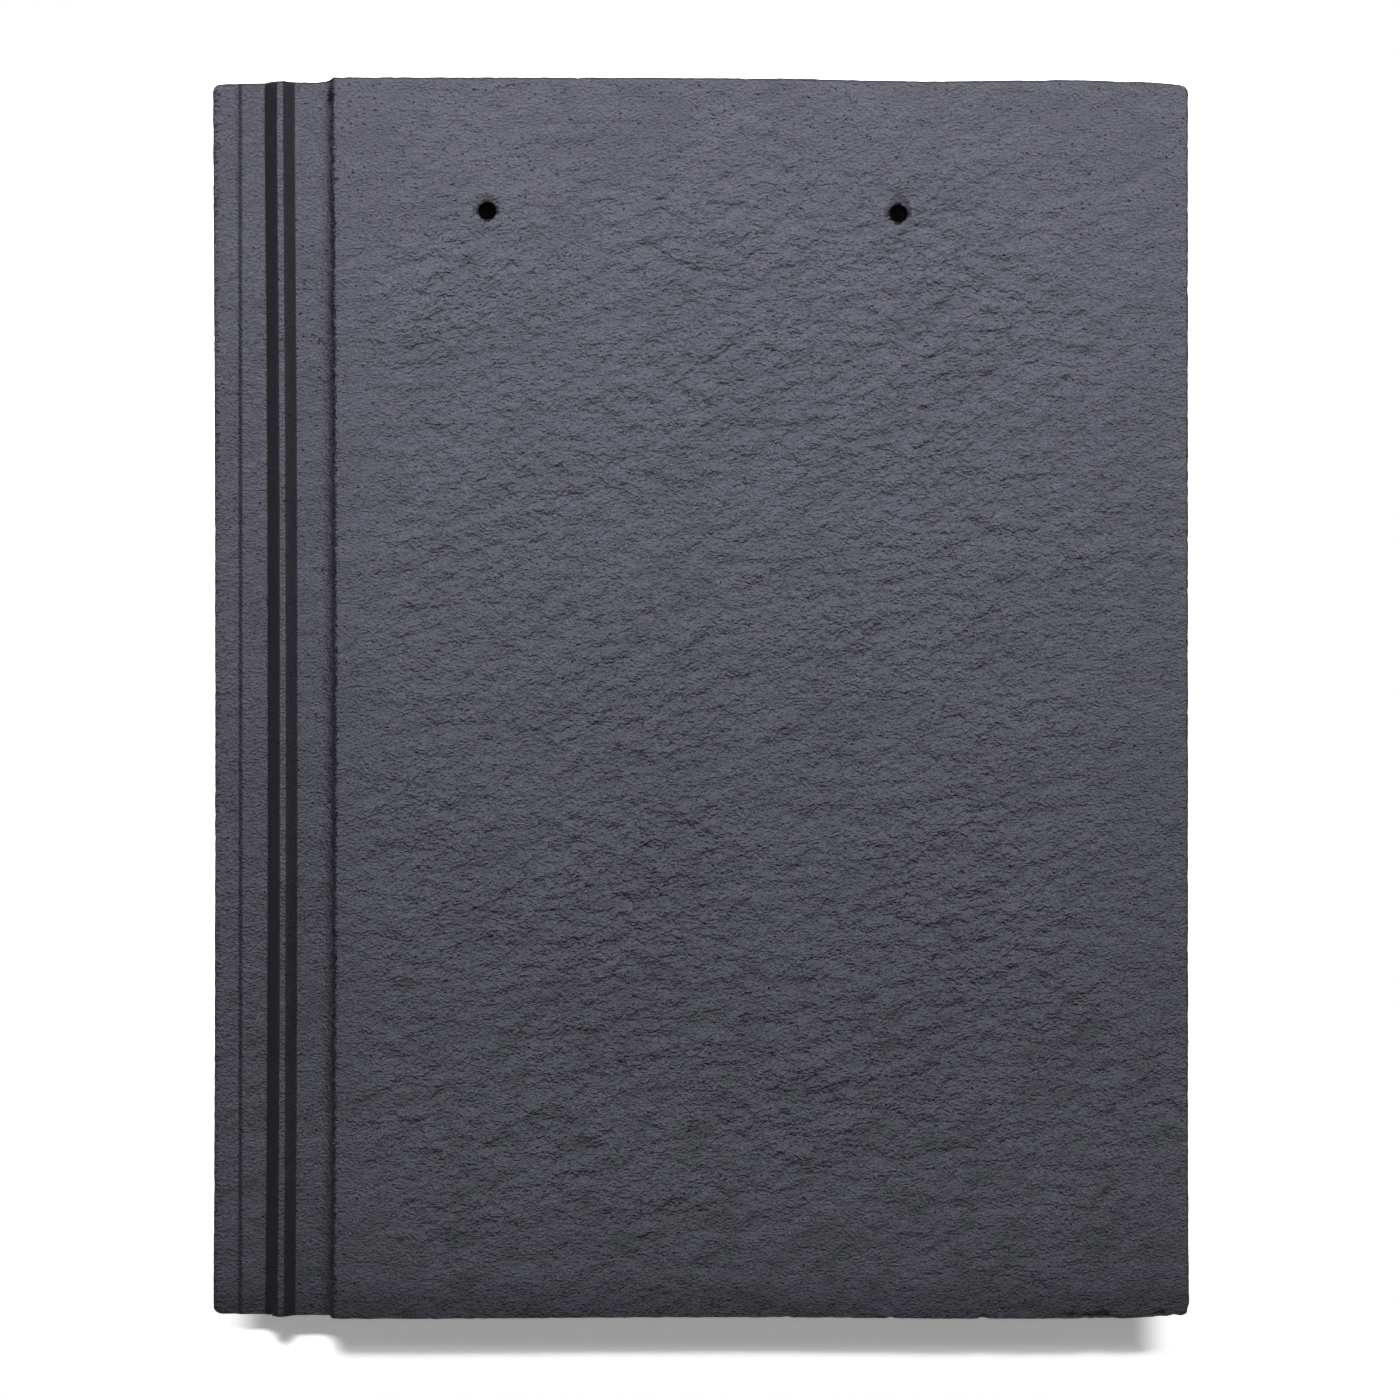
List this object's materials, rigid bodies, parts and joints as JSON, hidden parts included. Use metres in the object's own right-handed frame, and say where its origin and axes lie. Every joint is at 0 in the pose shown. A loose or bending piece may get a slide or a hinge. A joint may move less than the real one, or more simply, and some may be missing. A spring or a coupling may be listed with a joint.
{
  "type": "concrete roof tile",
  "caption": "Flat interlocking concrete roof tile with side channels, hidden nibs, weather bars and nail holes.",
  "frame": {"origin": "middle of the tile's length and width, at the level of the nib tips", "axes": "+X across the tile from the underlap to the overlap, +Y up the roof from the tail to the head, +Z out of the weather face"},
  "size_m": [0.33, 0.418, 0.0355],
  "materials": {
    "concrete": "matte"
  },
  "bodies": {
    "root": {"roof_tile": "concrete"}
  },
  "joints": []
}
